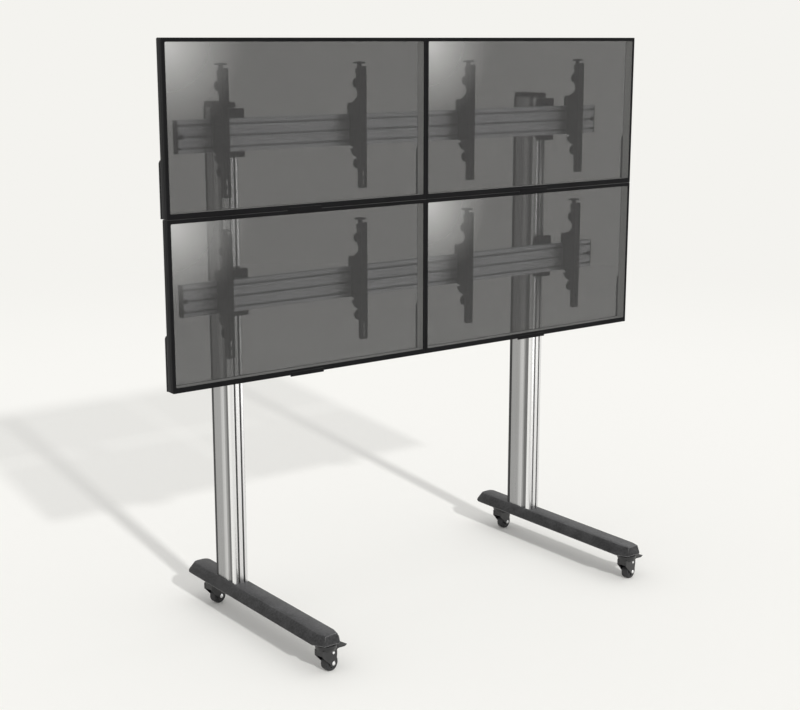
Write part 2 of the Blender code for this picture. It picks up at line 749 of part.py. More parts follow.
def stop_parts(x):
    nut_front = RAIL_FRONT + SLOT_LIP + GAP
    nut_back = RAIL_FRONT + SLOT_DEPTH - 0.0015
    nut_half = SLOT_CHAMBER / 2 - NUT_CLEARANCE
    front = RAIL_FRONT - GAP - STOP_HEAD_HEIGHT
    profile = [
        (0.0, STOP_HEAD_HEIGHT), (STOP_HEAD_RADIUS - 0.0015, STOP_HEAD_HEIGHT),
        (STOP_HEAD_RADIUS, STOP_HEAD_HEIGHT - 0.0015), (STOP_HEAD_RADIUS, 0.0), (0.0, 0.0),
    ]
    head = turned(profile, "y", (x, RAIL_FRONT - GAP, 0.0), SHAFT_ROUND)
    shank = rod("y", front + 0.001, nut_back - 0.001, (x, 0.0), BOLT_SHANK_RADIUS)
    nut = box((x - 0.004, nut_front, -nut_half), (x + 0.004, nut_back, nut_half))
    return [head, shank, nut]


# Displays
def display_mesh():
    top = DISPLAY_HEIGHT
    front = DISPLAY_FRONT
    back = front + DISPLAY_DEPTH
    deep = back + DISPLAY_BULGE
    ramp = BULGE_HEIGHT
    outline = [(front, top), (front, 0.0), (deep, 0.0), (deep, ramp - BULGE_RAMP), (back, ramp)]
    outline += arc((back - BACK_RADIUS, top - BACK_RADIUS), BACK_RADIUS, 0, 90, 4)
    half = DISPLAY_WIDTH / 2
    mesh = prism([outline], "yz", -half, half)
    window = rounded_rectangle(
        (-half + BEZEL_SIDE, BEZEL_BOTTOM), (half - BEZEL_SIDE, top - BEZEL_TOP), WINDOW_RADIUS
    )
    cuts = [prism([window], "xz", front - 0.01, front + BEZEL_LIP + 0.001)]
    side = half - BEZEL_SIDE + GLASS_OVERLAP
    low = (-side, front + BEZEL_LIP, BEZEL_BOTTOM - GLASS_OVERLAP)
    high = (side, back - BACK_WALL, top - BEZEL_TOP + GLASS_OVERLAP)
    cuts.append(box(low, high))
    rear_low = (low[0], back - GAP, low[2])
    cuts.append(box(rear_low, (high[0], deep + 0.01, high[2])))
    sensor_low = (-SENSOR_HALF, front - SENSOR_PROUD, -SENSOR_HANG)
    sensor = box(sensor_low, (SENSOR_HALF, front - 0.0006, BEZEL_BOTTOM * 0.55))
    root_low = (-SENSOR_HALF, front - SENSOR_PROUD + 0.001, 0.001)
    root = box(root_low, (SENSOR_HALF, front + 0.001, BEZEL_BOTTOM * 0.45))
    return smooth(solid(mesh, join=[root, sensor], cut=cuts), 30.0)


def glass_mesh():
    top = DISPLAY_HEIGHT
    half = DISPLAY_WIDTH / 2 - BEZEL_SIDE + GLASS_OVERLAP - GAP
    front = DISPLAY_FRONT + BEZEL_LIP + GAP
    low = (-half, front, BEZEL_BOTTOM - GLASS_OVERLAP + GAP)
    high = (half, front + GLASS_THICK, top - BEZEL_TOP + GLASS_OVERLAP - GAP)
    return box(low, high)


# Arms. Depth runs back from the channel's front face, and drop runs down from the channel's top.
def channel_mesh():
    front = CHANNEL_FRONT
    low = -CHANNEL_LENGTH
    outer = box((-CHANNEL_HALF, front, low), (CHANNEL_HALF, front + CHANNEL_DEPTH, 0.0))
    inner = CHANNEL_HALF - CHANNEL_WALL
    hollow = box(
        (-inner, front + CHANNEL_WALL, low - PAST),
        (inner, front + CHANNEL_DEPTH + PAST, PAST),
    )
    cuts = [hollow]
    across = (0.0, -CHANNEL_HOLE_DROP)
    cuts.append(rod("y", front - PAST, front + PAST, across, CHANNEL_HOLE_RADIUS))
    for start, end in CHANNEL_SLOTS:
        slot_low = (-CHANNEL_SLOT_HALF, -end)
        slot_high = (CHANNEL_SLOT_HALF, -start)
        outline = rounded_rectangle(slot_low, slot_high, CHANNEL_SLOT_HALF * 0.98, 3)
        cuts.append(prism([outline], "xz", front - PAST, front + PAST))
    return smooth(solid(outer, cut=cuts), 25.0)


def hook_mesh():
    front = CHANNEL_FRONT
    rail = RAIL_BACK_OF_CHANNEL - GAP
    rail_top = ARM_ABOVE_RAIL - GAP
    rail_bottom = rail_top + RAIL_HEIGHT
    tooth_front = RAIL_BACK_OF_CHANNEL + RAIL_LIP + GAP * 2
    tooth_back = RAIL_BACK_OF_CHANNEL + RAIL_LIP + RAIL_TOP_GROOVE - GAP * 2
    tooth_end = rail_top + RAIL_TOP_GROOVE_DEPTH - GAP * 2
    hook_back = tooth_back + 0.002
    dials = [(drop - DIAL_RADIUS, drop + DIAL_RADIUS) for drop in DIAL_DROPS]
    # The lug round the knob, then the plate beside the upper dial and its waist.
    points = [
        (PLATE_FRONT, PLATE_TOP), (LUG_DEPTH, PLATE_TOP), (LUG_DEPTH, LUG_END),
        (NARROW_DEPTH, LUG_END + 0.006), (NARROW_DEPTH, dials[0][1] + 0.002),
        (WAIST_DEPTH, dials[0][1] + 0.008), (WAIST_DEPTH, SHOULDER_DROP - 0.025),
    ]
    # The shoulder and the hook over the top of the rail.
    points += [
        (rail * 0.59, SHOULDER_DROP - 0.009), (rail * 0.81, SHOULDER_DROP),
        (hook_back - 0.006, SHOULDER_DROP), (hook_back, SHOULDER_DROP + 0.008),
        (hook_back, rail_top), (tooth_back, rail_top), (tooth_back, tooth_end),
        (tooth_front, tooth_end), (tooth_front, rail_top), (rail, rail_top),
    ]
    # The face against the rail, the latch below it and the plate beside the lower dial.
    points += [
        (rail, rail_bottom), (rail * 0.81, rail_bottom + 0.002), (rail * 0.70, rail_bottom + 0.005),
        (rail * 0.75, rail_bottom + 0.010), (rail - 0.002, rail_bottom + 0.014),
        (rail * 0.81, rail_bottom + LATCH_LENGTH), (rail * 0.65, rail_bottom + LATCH_LENGTH + 0.007),
        (NARROW_DEPTH, dials[1][0] - 0.004), (NARROW_DEPTH, PLATE_END), (PLATE_FRONT, PLATE_END),
    ]
    outline = [(front + depth, -drop) for depth, drop in points]
    half = CHANNEL_HALF - CHANNEL_WALL - GAP
    mesh = prism([outline], "yz", -half, half)
    inner = half - PLATE
    # The fold leaves two cheeks joined by the web in front and by the lug at the top.
    fold = box(
        (-inner, front + PLATE_FRONT + PLATE, -PLATE_END - PAST),
        (inner, front + hook_back + PAST, -PLATE_TOP - LUG_THICK),
    )
    cuts = [fold]
    for drop in PLATE_HOLE_DROPS:
        across = (front + PLATE_HOLE_BACK, -drop)
        cuts.append(rod("x", -half - PAST, half + PAST, across, PLATE_HOLE_RADIUS))
    stem = bore_radius(KNOB_STEM_RADIUS, KNOB_ROUND)
    cuts.append(rod("z", -LUG_END, PAST, (0.0, front + KNOB_BACK), stem, KNOB_ROUND))
    mesh = solid(mesh, cut=cuts)
    stud_reach = half + PLATE
    stud = rod("x", -stud_reach, stud_reach, (front + STUD_BACK, -STUD_DROP), PLATE_STUD_RADIUS)
    joins = [stud]
    for drop in DIAL_DROPS:
        joins += dial_parts(drop)
    return smooth(solid(mesh, join=joins), 25.0)


def dial_parts(drop):
    front = CHANNEL_FRONT
    start = front + DIAL_FRONT
    # The turned axis points to the front, so the dial lies at negative heights behind its front face.
    profile = [
        (0.0, 0.0), (DIAL_RADIUS, 0.0), (DIAL_RADIUS, 0.0015 - DIAL_THICK),
        (DIAL_RADIUS - 0.0015, -DIAL_THICK), (0.0, -DIAL_THICK),
    ]
    disc = turned(profile, "y", (0.0, start, -drop), DIAL_ROUND)
    stud_front = front + PLATE_FRONT + PLATE - 0.001
    stud = rod("y", stud_front, start + 0.002, (0.0, -drop), DIAL_STUD_RADIUS)
    return [disc, stud]


def knob_mesh():
    high = KNOB_ABOVE
    low = high - KNOB_HEAD
    profile = [
        (0.0, high), (KNOB_RADIUS * 0.6, high - 0.0008), (KNOB_RADIUS * 0.9, high - 0.0026),
        (KNOB_RADIUS, high - 0.0050), (KNOB_RADIUS - 0.001, low), (KNOB_NECK_RADIUS, low),
        (KNOB_NECK_RADIUS, GAP - PLATE_TOP), (KNOB_STEM_RADIUS, GAP - PLATE_TOP),
        (KNOB_STEM_RADIUS, -KNOB_STEM_END), (0.0, -KNOB_STEM_END),
    ]
    return smooth(turned(profile, "z", (0.0, 0.0, 0.0), KNOB_ROUND))


# Assembly
clear_scene()
MODEL = make_collection("mobile_video_wall_stand")
CUTTERS = make_collection("cutters")
CUTTERS.hide_render = True
SIDES = (("left", -1), ("right", 1))

ALUMINIUM = make_material("anodised_aluminium", (0.62, 0.62, 0.63), 1.0, 0.35)
RAIL_METAL = make_material("grey_rail_aluminium", (0.30, 0.30, 0.31), 1.0, 0.45)
FOOT_PAINT = make_material("textured_black_paint", (0.055, 0.055, 0.056), 0.0, 0.6)
STEEL_PAINT = make_material("black_coated_steel", (0.045, 0.045, 0.048), 0.0, 0.5)
BLACK_PLASTIC = make_material("black_plastic", (0.025, 0.025, 0.027), 0.0, 0.45)
TYRE = make_material("castor_tyre", (0.03, 0.03, 0.032), 0.0, 0.6)
BEZEL = make_material("display_housing", (0.018, 0.018, 0.02), 0.0, 0.4)
SMOKED = make_material("smoked_glass", (0.18, 0.18, 0.18), 0.0, 0.08, 0.35)

foot = foot_mesh()
column = column_mesh()
cover = cover_mesh()
cap = column_cap_mesh()
wheel = wheel_mesh()
pedal = pedal_mesh()
forks = {"front": fork_mesh(True), "rear": fork_mesh(False)}
# All four castors stand turned the same way, with their wheels and pedals toward +X.
turn = math.radians(CASTOR_TURN)
for label, sign in SIDES:
    place = (sign * COLUMN_X, 0.0, 0.0)
    add_node(label + "_foot", foot, FOOT_PAINT, place)
    add_node(label + "_column", column, ALUMINIUM, place)
    add_node(label + "_rear_cover", cover, BLACK_PLASTIC, place)
    add_node(label + "_column_cap", cap, BLACK_PLASTIC, place)
    for end, swivel_y in zip(("front", "rear"), SWIVEL_YS):
        name = label + "_" + end + "_castor_"
        add_node(name + "fork", forks[end], BLACK_PLASTIC, (place[0], swivel_y, 0.0), turn)
        axle = castor_place(place[0], swivel_y, TRAIL, WHEEL_RADIUS)
        add_node(name + "wheel", wheel, TYRE, axle, turn)
    pivot = castor_place(place[0], SWIVEL_YS[0], PEDAL_PIVOT_AHEAD, PEDAL_PIVOT_Z)
    add_node(label + "_front_castor_pedal", pedal, BLACK_PLASTIC, pivot, turn)

rail = rail_mesh()
bracket = bracket_mesh()
end_caps = {sign: end_cap_mesh(sign) for label, sign in SIDES}
housing = display_mesh()
glass = glass_mesh()
channel = channel_mesh()
hook = hook_mesh()
knob = knob_mesh()
upper_bottom = WALL_TOP - DISPLAY_HEIGHT
lower_bottom = upper_bottom - DISPLAY_GAP - DISPLAY_HEIGHT
rows = (("upper", UPPER_RAIL_BELOW_MIDDLE, upper_bottom), ("lower", LOWER_RAIL_BELOW_MIDDLE, lower_bottom))
for row, below, bottom in rows:
    rail_z = bottom + DISPLAY_HEIGHT / 2 - below
    add_node(row + "_rail", rail, RAIL_METAL, (0.0, 0.0, rail_z))
    arm_top = rail_z + RAIL_HEIGHT / 2 + ARM_ABOVE_RAIL
    for side, sign in SIDES:
        name = row + "_" + side + "_"
        add_node(name + "rail_end_cap", end_caps[sign], BLACK_PLASTIC, (0.0, 0.0, rail_z))
        add_node(name + "rail_bracket", bracket, STEEL_PAINT, (sign * COLUMN_X, 0.0, rail_z))
        centre = sign * (DISPLAY_WIDTH + DISPLAY_GAP) / 2
        add_node(name + "display_housing", housing, BEZEL, (centre, 0.0, bottom))
        add_node(name + "front_glass", glass, SMOKED, (centre, 0.0, bottom))
        for end, x in (("outer", centre + sign * ARM_OFFSET), ("inner", centre - sign * ARM_OFFSET)):
            add_node(name + end + "_arm_channel", channel, STEEL_PAINT, (x, 0.0, arm_top))
            add_node(name + end + "_hook_plate", hook, STEEL_PAINT, (x, 0.0, arm_top))
            axis = (x, CHANNEL_FRONT + KNOB_BACK, arm_top)
            add_node(name + end + "_height_knob", knob, BLACK_PLASTIC, axis)
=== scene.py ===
import json
import math

import bmesh
import bpy
from mathutils import Matrix, Vector

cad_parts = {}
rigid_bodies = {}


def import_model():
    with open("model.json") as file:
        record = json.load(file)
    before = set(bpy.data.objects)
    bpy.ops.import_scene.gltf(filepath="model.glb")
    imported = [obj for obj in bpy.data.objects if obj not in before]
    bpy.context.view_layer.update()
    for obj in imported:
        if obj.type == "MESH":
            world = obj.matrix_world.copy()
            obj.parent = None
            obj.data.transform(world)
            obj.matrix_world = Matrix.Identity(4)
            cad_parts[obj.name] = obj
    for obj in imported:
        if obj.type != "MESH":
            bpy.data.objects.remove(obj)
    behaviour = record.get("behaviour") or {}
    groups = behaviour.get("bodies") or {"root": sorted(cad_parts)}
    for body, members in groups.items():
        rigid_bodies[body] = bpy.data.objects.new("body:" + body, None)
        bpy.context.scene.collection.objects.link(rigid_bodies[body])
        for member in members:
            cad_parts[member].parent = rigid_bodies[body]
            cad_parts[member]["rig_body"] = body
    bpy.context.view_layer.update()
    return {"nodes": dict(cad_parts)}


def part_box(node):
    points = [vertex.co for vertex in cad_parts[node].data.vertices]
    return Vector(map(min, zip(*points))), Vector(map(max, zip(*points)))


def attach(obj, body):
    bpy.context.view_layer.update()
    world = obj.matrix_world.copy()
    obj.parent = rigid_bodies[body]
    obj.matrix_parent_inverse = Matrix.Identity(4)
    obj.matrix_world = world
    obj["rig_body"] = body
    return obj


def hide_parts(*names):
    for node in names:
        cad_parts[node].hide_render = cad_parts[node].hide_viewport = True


for thing in list(bpy.data.objects):
    bpy.data.objects.remove(thing, do_unlink=True)

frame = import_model()
nodes = frame["nodes"]
bodyOf = {name: thing["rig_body"] for name, thing in nodes.items()}
rows = ("upper", "lower")
sides = ("left", "right")
arms = ("outer", "inner")
displayLabels = [row + "_" + side for row in rows for side in sides]
armLabels = [label + "_" + arm for label in displayLabels for arm in arms]
mm = 0.001
print("frame loaded:", len(nodes), "nodes")


def linear(hexColour):
    # sRGB hex to the linear colour that sockets expect
    channels = [int(hexColour[i:i + 2], 16) / 255 for i in (1, 3, 5)]
    return [c / 12.92 if c <= 0.04045 else ((c + 0.055) / 1.055) ** 2.4 for c in channels] + [1.0]


def add(tree, kind, inputs=None, **settings):
    # adds one node with its settings; an input is a value, or a tuple (node, output) to link from
    made = tree.nodes.new(kind)
    for key, value in settings.items():
        setattr(made, key, value)
    for socket, value in (inputs or {}).items():
        if isinstance(value, tuple) and isinstance(value[0], bpy.types.Node):
            tree.links.new(value[0].outputs[value[1]], made.inputs[socket])
        else:
            made.inputs[socket].default_value = value
    return made


def newMaterial(name):
    material = bpy.data.materials.new(name)
    material.use_nodes = True
    material.node_tree.nodes.clear()
    return material, material.node_tree


def output(tree, shader):
    add(tree, "ShaderNodeOutputMaterial", {"Surface": (shader, "BSDF")})


def spread(tree, source, low, high):
    # stretches a 0..1 pattern over low..high
    return add(tree, "ShaderNodeMapRange", {"Value": source, "To Min": low, "To Max": high})


def tint(tree, source, dark, light, start=0.3, end=0.7):
    # a pattern as a blend of two colours
    made = add(tree, "ShaderNodeValToRGB", {"Fac": source})
    for element, place, colour in zip(made.color_ramp.elements, (start, end), (dark, light)):
        element.position = place
        element.color = linear(colour)
    return made


def paintedDepthBands(tree, place, colour, paintedBands):
    # paints bands of light and shade: multiplies a colour by greys that change across the depth of a piece,
    # front to back
    depth = add(tree, "ShaderNodeSeparateXYZ", {"Vector": (place, "Object")})
    along = add(tree, "ShaderNodeMapRange", {
        "Value": (depth, "Y"), "From Min": paintedBands["front"], "From Max": paintedBands["front"] + paintedBands["depth"],
    })
    ramp = add(tree, "ShaderNodeValToRGB", {"Fac": (along, "Result")})
    stops = ramp.color_ramp.elements
    for _ in paintedBands["greys"][2:]:
        stops.new(0.5)
    for stop, (distance, grey) in zip(stops, paintedBands["greys"]):
        stop.position = distance / paintedBands["depth"]
        stop.color = (grey, grey, grey, 1.0)
    return add(tree, "ShaderNodeMix", {
        "Factor": 1.0, "A": (colour, "Color"), "B": (ramp, "Color"),
    }, data_type="RGBA", blend_type="MULTIPLY")


# Aluminium pushed through a die, etched and anodised: straight die lines run along the length.
# Bands of painted light and shade run along the length: a painted highlight over the front face and front
# edge, painted shade over the side groove, and a darker grey rear flank.
# Each grey is a distance behind the front face, and the factor that the metal's colour is multiplied by
# there.
columnMetal = {
    "dark": "#eeeeef", "light": "#fbfbfb", "roughness": (0.22, 0.34),
    "length": "z", "fineLine": 2.5 * mm, "broadLine": 14 * mm, "lineRun": 0.9, "relief": 0.03 * mm,
    "paintedBands": {
        "front": 138 * mm, "depth": 133.3 * mm, "greys": (
            (0.0, 0.84), (4 * mm, 0.88), (12 * mm, 1.0), (20 * mm, 1.0), (30 * mm, 0.22),
            (44 * mm, 0.2), (56 * mm, 0.66), (74 * mm, 0.6), (84 * mm, 0.4), (133 * mm, 0.38),
        ),
    },
    "cavity": {"reach": 14 * mm, "least": 0.55, "shut": 0.3, "open": 0.9},
}
# The same aluminium on the rails, blasted duller, with painted shade in its slots.
railMetal = {
    "dark": "#d3d4d7", "light": "#e3e4e7", "roughness": (0.42, 0.54),
    "length": "x", "fineLine": 2.5 * mm, "broadLine": 16 * mm, "lineRun": 1.1, "relief": 0.03 * mm,
    "cavity": {"reach": 10 * mm, "least": 0.25, "shut": 0.3, "open": 0.9},
}
# how the fine and broad die lines of both are drawn and mixed
dieLines = {"fineDetail": 3.0, "broadDetail": 1.0, "broadShare": 0.45, "bump": 0.35}


def shadedCavities(tree, colour, cavity):
    # painted shade in the slots: the colour darkens where little of the open air is in reach
    reach = add(tree, "ShaderNodeAmbientOcclusion", {"Distance": cavity["reach"]}, samples=8, only_local=True)
    openness = add(tree, "ShaderNodeMapRange", {
        "Value": (reach, "AO"), "From Min": cavity["shut"], "From Max": cavity["open"],
        "To Min": cavity["least"], "To Max": 1.0,
    })
    return add(tree, "ShaderNodeMix", {
        "Factor": 1.0, "A": colour, "B": (openness, "Result"),
    }, data_type="RGBA", blend_type="MULTIPLY")


def anodisedAluminium(name, look):
    material, tree = newMaterial(name)
    place = add(tree, "ShaderNodeTexCoord")

    def lines(spacing, detail):
        scale = [1 / spacing] * 3
        scale["xyz".index(look["length"])] = 1 / look["lineRun"]
        stretched = add(tree, "ShaderNodeMapping", {"Vector": (place, "Object"), "Scale": scale})
        return add(tree, "ShaderNodeTexNoise", {
            "Vector": (stretched, "Vector"), "Scale": 1.0, "Detail": detail,
        })

    fine = lines(look["fineLine"], dieLines["fineDetail"])
    broad = lines(look["broadLine"], dieLines["broadDetail"])
    both = add(tree, "ShaderNodeMix", {
        "Factor": dieLines["broadShare"], "A": (fine, "Fac"), "B": (broad, "Fac"),
    })
    colour = (tint(tree, (both, "Result"), look["dark"], look["light"]), "Color")
    if "paintedBands" in look:
        colour = (paintedDepthBands(tree, place, colour[0], look["paintedBands"]), "Result")
    colour = (shadedCavities(tree, colour, look["cavity"]), "Result")
    rough = spread(tree, (broad, "Fac"), *look["roughness"])
    relief = add(tree, "ShaderNodeBump", {
        "Height": (fine, "Fac"), "Strength": dieLines["bump"], "Distance": look["relief"],
    })
    output(tree, add(tree, "ShaderNodeBsdfPrincipled", {
        "Base Color": colour, "Metallic": 1.0,
        "Roughness": (rough, "Result"), "Normal": (relief, "Normal"),
    }))
    return material


# Steel with a sprayed and baked powder coat: a fine, slightly dimpled black skin, satin on the arms and
# brackets and sandier on the feet. The real 0.4 mm grain is drawn coarser so that it shows.
armCoat = {
    "dark": "#161618", "light": "#1f1f21", "roughness": (0.38, 0.55),
    "grain": 1.6 * mm, "cloud": 45 * mm, "relief": 0.10 * mm, "ior": 1.5,
    "wearAndHighlight": {"reach": 0.8 * mm, "colour": "#3c3c3e", "most": 0.5},
}
# on the feet the wide, pale edge band is a painted highlight
footCoat = {
    "dark": "#1d1d1e", "light": "#3b3b3c", "roughness": (0.5, 0.7), "gloss": 0.25,
    "grain": 8.0 * mm, "cloud": 60 * mm, "relief": 1.6 * mm, "ior": 1.5,
    "wearAndHighlight": {"reach": 5.0 * mm, "colour": "#989898", "most": 0.8},
}
# ABS and nylon pressed in spark-eroded moulds: an even, finely pitted black with a dull shine.
shellPlastic = {
    "dark": "#1c1c1e", "light": "#262628", "roughness": (0.36, 0.5), "gloss": 0.08,
    "grain": 1.2 * mm, "cloud": 80 * mm, "relief": 0.05 * mm, "ior": 1.46,
    # polished bezel, painted shade in the grooves, a painted highlight on the ridge between them, then the
    # spark-eroded rear shell
    "paintedBands": {
        "front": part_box("upper_left_front_glass")[0].y - 1.7 * mm, "depth": 60 * mm, "greys": (
            (0.0, 0.42), (8 * mm, 0.42), (9 * mm, 0.05), (11.2 * mm, 0.05), (12 * mm, 1.7), (14.6 * mm, 1.7),
            (15.4 * mm, 0.05), (17.6 * mm, 0.05), (18.6 * mm, 0.8), (60 * mm, 0.8),
        ),
    },
}
# The same ABS in a pale grey lines the frame behind the pane and keeps the space there light.
innerPlastic = {
    "dark": "#9a9a98", "light": "#a8a8a5", "roughness": (0.5, 0.65), "gloss": 0.3,
    "grain": 1.2 * mm, "cloud": 80 * mm, "relief": 0.05 * mm, "ior": 1.46,
}
# Caps, covers and knobs: the black ABS with a duller, coarser grain.
capPlastic = {
    "dark": "#1a1a1b", "light": "#242425", "roughness": (0.42, 0.6),
    "grain": 1.4 * mm, "cloud": 50 * mm, "relief": 0.08 * mm, "ior": 1.46,
}
# Castor forks, pedals and hubs: glass-filled nylon, a little glossier, rubbed grey along its edges.
castorNylon = {
    "dark": "#141415", "light": "#202022", "roughness": (0.28, 0.45),
    "grain": 1.4 * mm, "cloud": 18 * mm, "relief": 0.06 * mm, "ior": 1.53,
    "wearAndHighlight": {"reach": 1.5 * mm, "colour": "#58585a", "most": 0.45},
}
# Cast polyurethane: a smooth dark tread that has picked up a little floor dust.
treadRubber = {
    "dark": "#17171a", "light": "#2a2a2c", "roughness": (0.5, 0.72),
    "grain": 2.0 * mm, "cloud": 9 * mm, "relief": 0.08 * mm, "ior": 1.5,
}
# how the fine grain and the cloudy patches of all of these are drawn and mixed, and their usual gloss
skinPattern = {
    "grainDetail": 2.0, "grainRoughness": 0.6, "cloudDetail": 4.0, "cloudRoughness": 0.55,
    "cloudShare": 0.5, "darkAt": 0.35, "lightAt": 0.65, "bump": 0.5, "gloss": 0.5,
}
# how far an edge turns before its lightening, wear and painted highlight, starts and is strongest (cosines),
# and how patchy it is
edgeWearAndHighlightSpread = {"starts": 0.995, "full": 0.88, "patchy": (0.6, 1.4)}


def wornAndHighlightedEdges(tree, colour, grain, wearAndHighlight):
    # lighter edges, rubbed wear on the arms and castors and a painted highlight on the feet: the colour is
    # lighter where a rounded copy of the surface turns away from it
    rounded = add(tree, "ShaderNodeBevel", {"Radius": wearAndHighlight["reach"]}, samples=6)
    plain = add(tree, "ShaderNodeNewGeometry")
    same = add(tree, "ShaderNodeVectorMath", {
        0: (rounded, "Normal"), 1: (plain, "Normal"),
    }, operation="DOT_PRODUCT")
    edge = add(tree, "ShaderNodeMapRange", {
        "Value": (same, "Value"), "From Min": edgeWearAndHighlightSpread["starts"], "From Max": edgeWearAndHighlightSpread["full"],
        "To Min": 0.0, "To Max": wearAndHighlight["most"],
    })
    broken = spread(tree, (grain, "Fac"), *edgeWearAndHighlightSpread["patchy"])
    share = add(tree, "ShaderNodeMath", {
        0: (edge, "Result"), 1: (broken, "Result"),
    }, operation="MULTIPLY", use_clamp=True)
    return add(tree, "ShaderNodeMix", {
        "Factor": (share, "Value"), "A": colour, "B": linear(wearAndHighlight["colour"]),
    }, data_type="RGBA")


def grainedSkin(name, look):
    material, tree = newMaterial(name)
    place = add(tree, "ShaderNodeTexCoord")

    def pattern(kind):
        return add(tree, "ShaderNodeTexNoise", {
            "Vector": (place, "Object"), "Scale": 1 / look[kind],
            "Detail": skinPattern[kind + "Detail"], "Roughness": skinPattern[kind + "Roughness"],
        })

    grain, cloud = pattern("grain"), pattern("cloud")
    both = add(tree, "ShaderNodeMix", {
        "Factor": skinPattern["cloudShare"], "A": (grain, "Fac"), "B": (cloud, "Fac"),
    })
    darkAt, lightAt = skinPattern["darkAt"], skinPattern["lightAt"]
    colour = (tint(tree, (both, "Result"), look["dark"], look["light"], darkAt, lightAt), "Color")
    if "paintedBands" in look:
        colour = (paintedDepthBands(tree, place, colour[0], look["paintedBands"]), "Result")
    if "wearAndHighlight" in look:
        colour = (wornAndHighlightedEdges(tree, colour, grain, look["wearAndHighlight"]), "Result")
    rough = spread(tree, (cloud, "Fac"), *look["roughness"])
    relief = add(tree, "ShaderNodeBump", {
        "Height": (grain, "Fac"), "Strength": skinPattern["bump"], "Distance": look["relief"],
    })
    output(tree, add(tree, "ShaderNodeBsdfPrincipled", {
        "Base Color": colour, "Roughness": (rough, "Result"),
        "Normal": (relief, "Normal"), "IOR": look["ior"],
        "Specular IOR Level": look.get("gloss", skinPattern["gloss"]),
    }))
    return material


# Steel screws and axle ends, zinc plated: small, bright and a little cloudy.
zincPlate = {"dark": "#dedfe0", "light": "#f7f7f7", "roughness": (0.4, 0.55), "cloud": 3 * mm, "detail": 3.0}


def platedSteel(name, look):
    material, tree = newMaterial(name)
    place = add(tree, "ShaderNodeTexCoord")
    cloud = add(tree, "ShaderNodeTexNoise", {
        "Vector": (place, "Object"), "Scale": 1 / look["cloud"], "Detail": look["detail"],
    })
    colour = tint(tree, (cloud, "Fac"), look["dark"], look["light"])
    rough = spread(tree, (cloud, "Fac"), *look["roughness"])
    output(tree, add(tree, "ShaderNodeBsdfPrincipled", {
        "Base Color": (colour, "Color"), "Metallic": 1.0, "Roughness": (rough, "Result"),
    }))
    return material


# Smoked panes: tinted sheet that lets about a tenth of the light through both panes of a display.
# The front one carries a painted reflection, a pale glare that fades out from the top left corner.
# Lamps are held back less than the view, so that the wall's shadow stays paler than the columns' shadows.
frontPane = {
    "tint": "#272727", "paintedGlare": "#e8e8e6", "density": 0.69, "paintedGlareReach": 0.34, "paintedGlareMost": 0.62,
    "roughness": (0.06, 0.12), "smear": 0.16, "ior": 1.5,
}
rearPane = {
    "tint": "#272727", "paintedGlare": "#272727", "density": 0.66, "paintedGlareReach": 0.34, "paintedGlareMost": 0.0,
    "roughness": (0.16, 0.28), "smear": 0.10, "ior": 1.5,
}
paneLook = {"width": 1.1345, "height": 0.6206, "paintedGlarePower": 1.56, "smearDetail": 2.0, "shadowShare": 0.8}


def smokedSheet(name, look):
    material, tree = newMaterial(name)
    place = add(tree, "ShaderNodeTexCoord")
    # metres from the top left corner of the pane
    fromCorner = add(tree, "ShaderNodeMapping", {
        "Vector": (place, "Generated"), "Scale": (paneLook["width"], 0.0, paneLook["height"]),
        "Location": (0.0, 0.0, -paneLook["height"]),
    })
    reach = add(tree, "ShaderNodeVectorMath", {0: (fromCorner, "Vector")}, operation="LENGTH")
    nearness = add(tree, "ShaderNodeMapRange", {
        "Value": (reach, "Value"), "From Max": look["paintedGlareReach"], "To Min": 1.0, "To Max": 0.0,
    })
    curve = add(tree, "ShaderNodeMath", {
        0: (nearness, "Result"), 1: paneLook["paintedGlarePower"],
    }, operation="POWER")
    paintedGlare = add(tree, "ShaderNodeMath", {0: (curve, "Value"), 1: look["paintedGlareMost"]}, operation="MULTIPLY")
    smear = add(tree, "ShaderNodeTexNoise", {
        "Vector": (place, "Object"), "Scale": 1 / look["smear"], "Detail": paneLook["smearDetail"],
    })
    # painted reflection: the pale glare colour is mixed into the tint near the top left corner
    colour = add(tree, "ShaderNodeMix", {
        "Factor": (paintedGlare, "Value"), "A": linear(look["tint"]), "B": linear(look["paintedGlare"]),
    }, data_type="RGBA")
    # the tint counts once on the way in, so that a sheet's thickness doesn't double it
    facing = add(tree, "ShaderNodeNewGeometry")
    inward = add(tree, "ShaderNodeMapRange", {
        "Value": (facing, "Backfacing"), "To Min": look["density"], "To Max": 0.0,
    })
    ray = add(tree, "ShaderNodeLightPath")
    held = add(tree, "ShaderNodeMapRange", {
        "Value": (ray, "Is Shadow Ray"), "To Min": 1.0, "To Max": paneLook["shadowShare"],
    })
    alpha = add(tree, "ShaderNodeMath", {0: (inward, "Result"), 1: (held, "Result")}, operation="MULTIPLY")
    rough = spread(tree, (smear, "Fac"), *look["roughness"])
    output(tree, add(tree, "ShaderNodeBsdfPrincipled", {
        "Base Color": (colour, "Result"), "Alpha": (alpha, "Value"),
        "Roughness": (rough, "Result"), "IOR": look["ior"],
    }))
    return material


